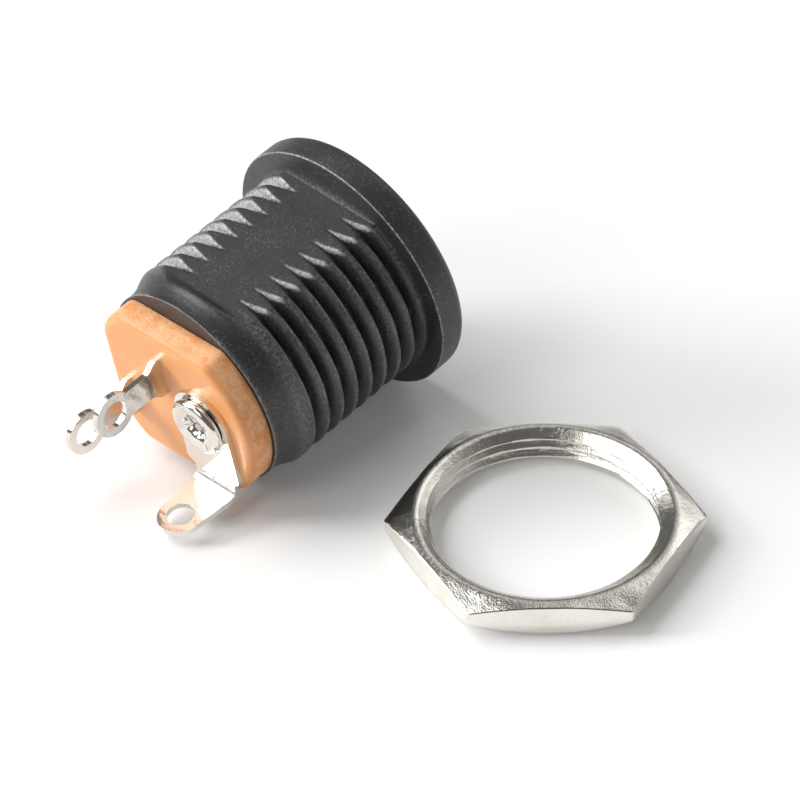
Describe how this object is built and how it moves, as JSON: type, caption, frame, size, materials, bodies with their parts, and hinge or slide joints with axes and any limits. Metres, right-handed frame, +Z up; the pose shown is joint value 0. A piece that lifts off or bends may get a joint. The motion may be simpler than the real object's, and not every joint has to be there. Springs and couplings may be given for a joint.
{
  "type": "dc barrel jack",
  "caption": "Panel-mount DC power jack with a flanged, threaded and flatted barrel, a centre pin, eyelet solder lugs on a riveted base plate, and its hexagon panel nut laid beside it",
  "frame": {"origin": "centre of the footprint of the jack and its nut, on the table that both lie on", "axes": "+Z up; the jack's socket opens towards -Y and its lugs point to +Y; the nut lies on the -X side"},
  "size_m": [0.0314, 0.0222, 0.0144],
  "materials": {
    "moulding": "fine-grained black moulding",
    "laminate": "pressed paper laminate",
    "contact": "nickel-plated brass",
    "tinned": "bright tin plate on brass",
    "nut_plating": "bright nickel plate on brass"
  },
  "bodies": {
    "root": {"threaded_barrel": "moulding", "base_plate": "laminate", "centre_pin": "contact", "centre_lug": "tinned", "sleeve_spring": "contact", "sleeve_lug": "tinned", "rivet": "tinned", "switch_contact": "tinned", "panel_nut": "nut_plating"}
  },
  "joints": []
}
